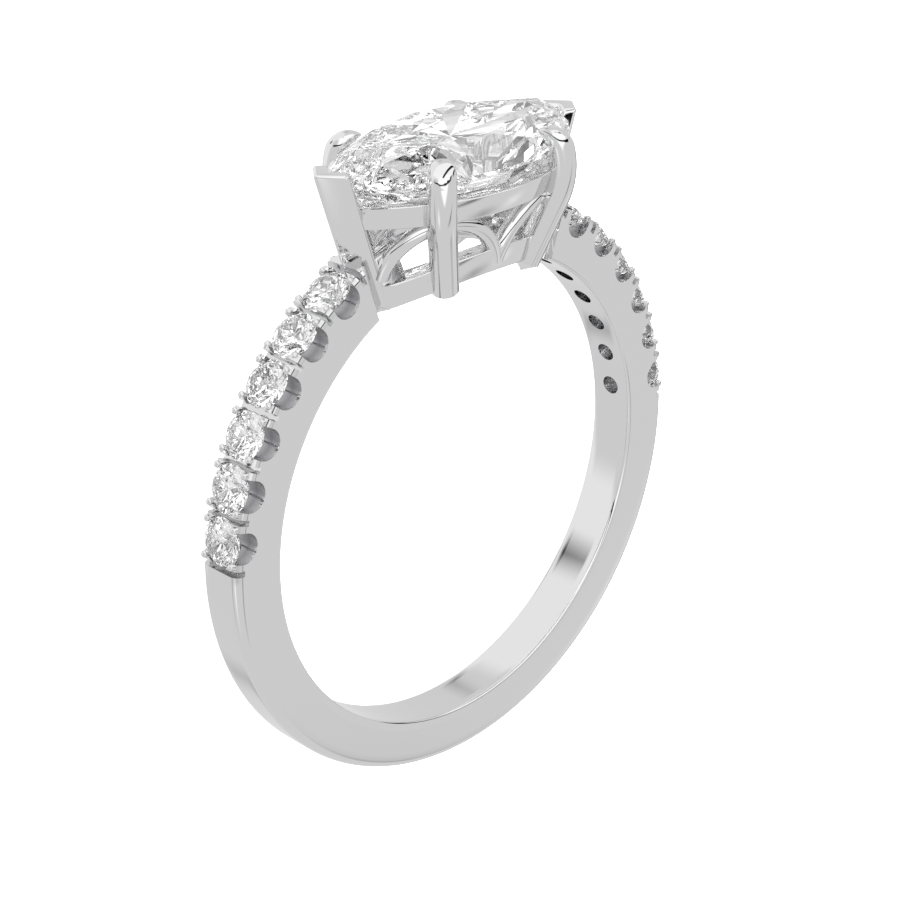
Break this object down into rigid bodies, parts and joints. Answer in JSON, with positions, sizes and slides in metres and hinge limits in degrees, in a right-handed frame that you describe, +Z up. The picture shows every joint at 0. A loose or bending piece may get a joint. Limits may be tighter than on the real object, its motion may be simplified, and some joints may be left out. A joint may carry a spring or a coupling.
{
  "type": "solitaire ring with an east-west marquise stone",
  "caption": "Polished white metal ring with a marquise stone set east-west in an open basket and round stones along both shoulders.",
  "frame": {"origin": "centre of the finger hole, half way along its width", "axes": "+X along the marquise (east-west), +Y from the finger hole to the head, +Z up from the surface that the ring lies on; the head end is raised, so the finger hole's axis leans a few degrees from +Z towards -Y"},
  "size_m": [0.0204, 0.0228, 0.0057],
  "materials": {
    "metal": "polished",
    "stone": "clear, facet-cut"
  },
  "bodies": {
    "root": {"setting": "metal", "marquise_stone": "stone", "side_stone_01": "stone", "side_stone_02": "stone", "side_stone_03": "stone", "side_stone_04": "stone", "side_stone_05": "stone", "side_stone_06": "stone", "side_stone_07": "stone", "side_stone_08": "stone", "side_stone_09": "stone", "side_stone_10": "stone", "side_stone_11": "stone", "side_stone_12": "stone"}
  },
  "joints": []
}
